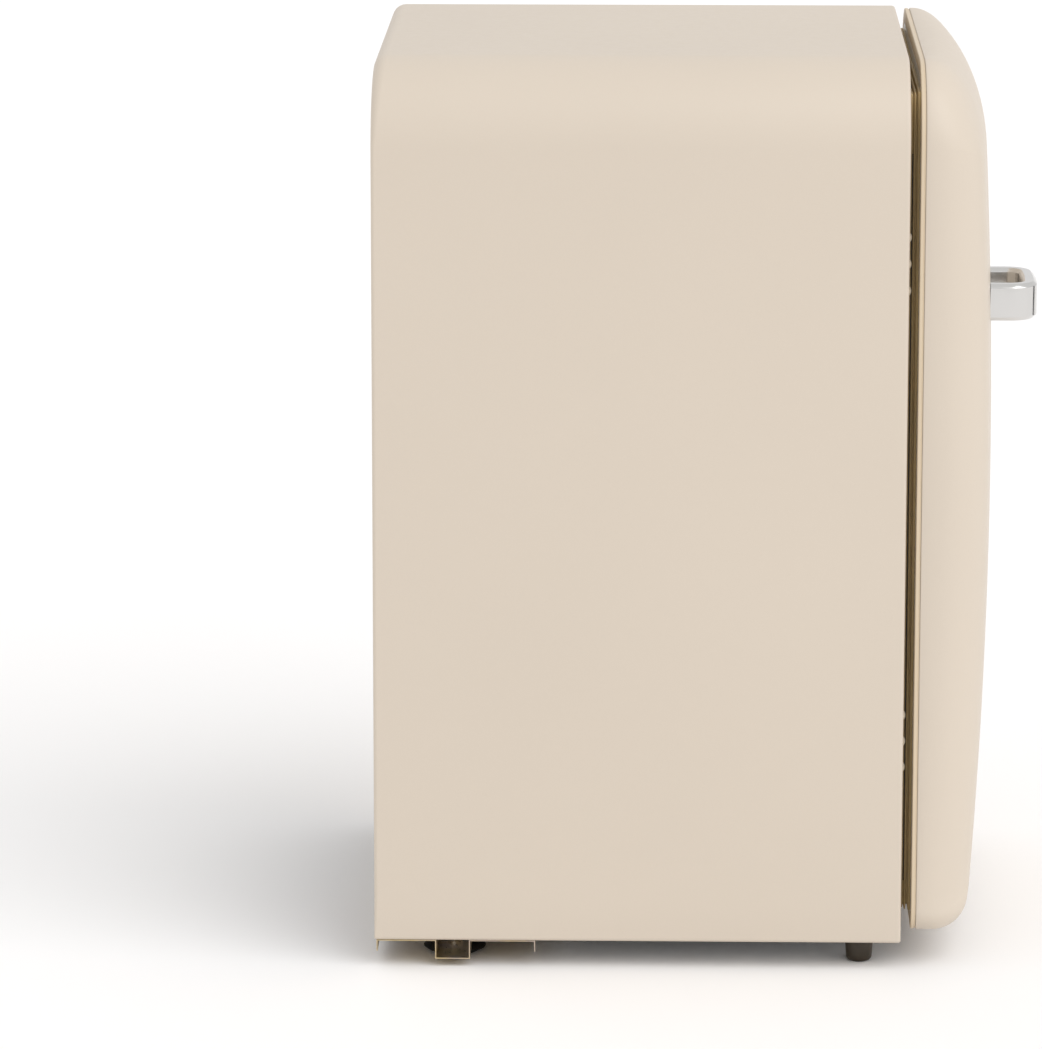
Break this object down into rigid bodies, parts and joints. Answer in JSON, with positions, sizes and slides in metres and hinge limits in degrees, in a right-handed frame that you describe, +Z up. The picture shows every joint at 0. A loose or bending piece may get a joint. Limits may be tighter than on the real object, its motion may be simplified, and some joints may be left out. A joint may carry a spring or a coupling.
{
  "type": "mini fridge",
  "caption": "Cream retro table-top fridge with a pillowed door, chrome bar handle, icebox, glass shelves, crisper drawer, door racks and a compressor niche.",
  "frame": {"origin": "on the floor, at the middle of the bounding box, handle included", "axes": "+Z up; the door faces -Y; +X to the right of someone facing the door"},
  "size_m": [0.55, 0.649, 0.895],
  "materials": {
    "cream_paint": "satin",
    "white_panel": "satin",
    "galvanised": "satin",
    "yellow_zinc": "satin",
    "zinc_fastener": "satin",
    "black_enamel": "satin",
    "white_liner": "satin",
    "foam": "matte",
    "coil_steel": "satin",
    "evaporator_aluminium": "satin",
    "clear_plastic": "gloss",
    "shelf_glass": "gloss",
    "shelf_trim": "satin",
    "cream_trim": "satin",
    "cream_plug": "satin",
    "gasket_rubber": "matte",
    "magnet": "matte",
    "chrome": "polished",
    "hinge_steel": "satin",
    "black_rubber": "matte",
    "dark_foot": "satin",
    "black_plastic": "satin",
    "copper": "satin",
    "warm_lens": "gloss",
    "bulb_glass": "gloss",
    "grey_plastic": "satin",
    "brass_insert": "satin"
  },
  "bodies": {
    "cabinet": {"cabinet_shell": "cream_paint", "rear_panel": "white_panel", "compartment_panel": "galvanised", "bottom_pan": "galvanised", "inner_liner": "white_liner", "cabinet_foam": "foam", "condenser_coil": "coil_steel", "icebox": "evaporator_aluminium", "freezer_hinge_brackets": "grey_plastic", "thermostat_housing": "white_liner", "lamp_lens": "warm_lens", "lamp_bulb": "bulb_glass", "crisper_cover": "shelf_glass", "hole_plugs": "cream_plug", "cabinet_hinge_leaves": "hinge_steel", "hinge_pins": "zinc_fastener", "cabinet_hinge_screws": "zinc_fastener", "base_plate": "yellow_zinc", "rear_feet": "black_rubber", "rear_foot_bolts": "zinc_fastener", "base_plate_rivets": "zinc_fastener", "compressor": "black_enamel", "compressor_base": "galvanised", "compressor_grommets": "black_rubber", "compressor_bolts": "zinc_fastener", "relay_cover": "black_plastic", "evaporation_tray": "black_plastic", "filter_drier": "copper", "discharge_tube": "copper", "suction_tube": "copper", "capillary_tube": "copper", "drain_tube": "grey_plastic", "cord_inlet": "black_rubber", "rear_panel_screws": "zinc_fastener", "front_foot_inserts": "brass_insert", "light_switch_body": "grey_plastic"},
    "left_foot": {"left_front_foot": "dark_foot"},
    "right_foot": {"right_front_foot": "dark_foot"},
    "switch_plunger": {"light_switch_plunger": "white_liner"},
    "knob": {"thermostat_knob": "grey_plastic"},
    "flap": {"freezer_flap": "white_liner"},
    "meltwater_tray": {"drip_tray": "clear_plastic"},
    "upper_shelf": {"upper_shelf_glass": "shelf_glass", "upper_shelf_trim": "shelf_trim"},
    "lower_shelf": {"lower_shelf_glass": "shelf_glass", "lower_shelf_trim": "shelf_trim"},
    "drawer": {"crisper_drawer": "clear_plastic"},
    "door": {"door_skin": "cream_paint", "door_trim": "cream_trim", "door_liner": "white_liner", "door_foam": "foam", "gasket": "gasket_rubber", "gasket_magnets": "magnet", "door_hinge_leaves": "hinge_steel", "door_hinge_screws": "zinc_fastener", "handle": "chrome", "handle_screws": "zinc_fastener"},
    "upper_rack": {"upper_rack": "clear_plastic"},
    "lower_rack": {"lower_rack": "clear_plastic"},
    "bottle_rail": {"bottle_rail": "clear_plastic"}
  },
  "joints": [
    {"name": "door_hinge", "type": "hinge", "parent": "cabinet", "child": "door", "pos_m": [0.2709, -0.1985, 0.465], "axis": [0, 0, 1], "range_deg": [0, 105]},
    {"name": "left_foot_screw", "type": "slide", "parent": "cabinet", "child": "left_foot", "axis": [0, 0, -1], "range_m": [0, 0.01]},
    {"name": "right_foot_screw", "type": "slide", "parent": "cabinet", "child": "right_foot", "axis": [0, 0, -1], "range_m": [0, 0.01]},
    {"name": "light_switch_press", "type": "slide", "parent": "cabinet", "child": "switch_plunger", "axis": [0, 1, 0], "range_m": [0, 0.004], "stiffness_N_per_m": 150},
    {"name": "thermostat_turn", "type": "hinge", "parent": "cabinet", "child": "knob", "pos_m": [0.182, -0.02, 0.645], "axis": [-1, 0, 0], "range_deg": [0, 270]},
    {"name": "freezer_flap_hinge", "type": "hinge", "parent": "cabinet", "child": "flap", "pos_m": [0, -0.0695, 0.823], "axis": [-1, 0, 0], "range_deg": [0, 85]},
    {"name": "drip_tray_slide", "type": "slide", "parent": "cabinet", "child": "meltwater_tray", "axis": [0, -1, 0], "range_m": [0, 0.022]},
    {"name": "upper_shelf_slide", "type": "slide", "parent": "cabinet", "child": "upper_shelf", "axis": [0, -1, 0], "range_m": [0, 0.022]},
    {"name": "lower_shelf_slide", "type": "slide", "parent": "cabinet", "child": "lower_shelf", "axis": [0, -1, 0], "range_m": [0, 0.022]},
    {"name": "drawer_slide", "type": "slide", "parent": "cabinet", "child": "drawer", "axis": [0, -1, 0], "range_m": [0, 0.022]},
    {"name": "upper_rack_lift", "type": "slide", "parent": "door", "child": "upper_rack", "axis": [0, 0, 1], "range_m": [0, 0.012]},
    {"name": "lower_rack_lift", "type": "slide", "parent": "door", "child": "lower_rack", "axis": [0, 0, 1], "range_m": [0, 0.012]},
    {"name": "bottle_rail_lift", "type": "slide", "parent": "door", "child": "bottle_rail", "axis": [0, 0, 1], "range_m": [0, 0.012]}
  ]
}
